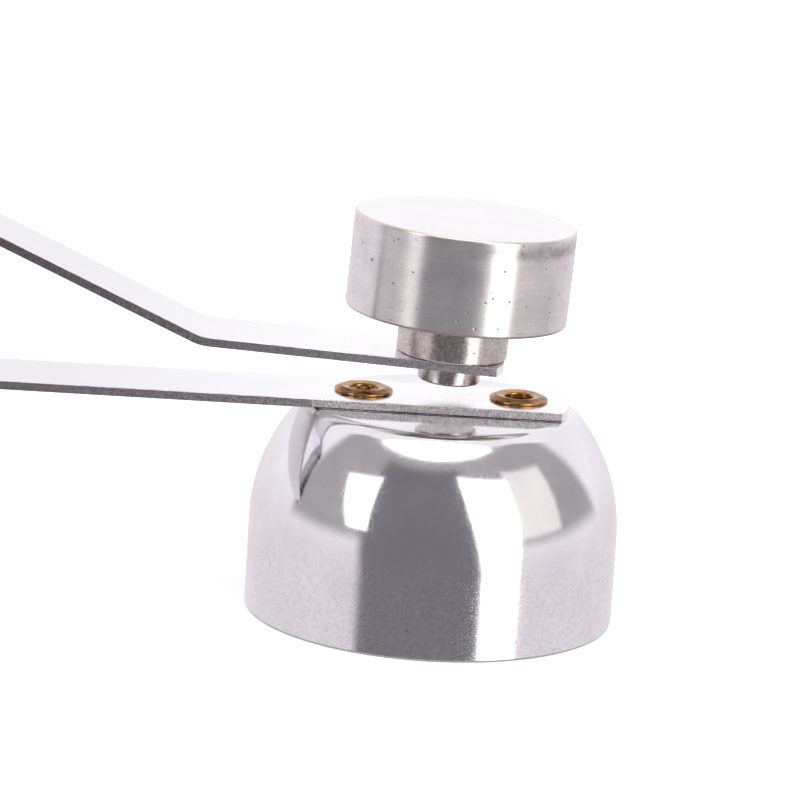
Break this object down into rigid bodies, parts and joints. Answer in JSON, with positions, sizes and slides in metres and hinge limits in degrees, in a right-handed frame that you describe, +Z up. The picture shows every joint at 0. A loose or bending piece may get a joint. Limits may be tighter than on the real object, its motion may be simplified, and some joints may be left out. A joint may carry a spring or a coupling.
{
  "type": "egg topper",
  "caption": "Steel bell cup on a flat handle strip, with a round weight on a sprung upper strip that is lifted and let go to rap the bell and crack the top off a boiled egg.",
  "frame": {"origin": "centre of the bell's open rim, on the plane it stands on", "axes": "+Z up along the bell's axis, +X along the handle from its tail to its front tip, +Y across the strips"},
  "size_m": [0.1218, 0.0336, 0.0376],
  "materials": {
    "polished_bell": "mirror-polished stainless steel",
    "strip_steel": "smooth rolled spring steel with sheared edges",
    "satin_head": "satin, turned round its axis, with small pits",
    "turned_steel": "plain turned, slightly brown and pitted",
    "brass_eyelet": "bright rolled brass"
  },
  "bodies": {
    "base": {"bell": "polished_bell", "lower_strip": "strip_steel", "spring_arm_tail": "strip_steel", "bell_eyelet_rear": "brass_eyelet", "bell_eyelet_front": "brass_eyelet", "tail_eyelet_rear": "brass_eyelet", "tail_eyelet_front": "brass_eyelet"},
    "striker": {"spring_arm": "strip_steel", "hammer_head": "satin_head", "spacer_collar": "turned_steel", "striker_pin": "turned_steel"}
  },
  "joints": [
    {"name": "hammer_flex", "type": "hinge", "parent": "base", "child": "striker", "pos_m": [-0.05938, 0, 0.03439], "axis": [0, -1, 0], "range_deg": [-1.15, 15], "stiffness_Nm_per_rad": 1.03, "springref_deg": 0.86}
  ]
}
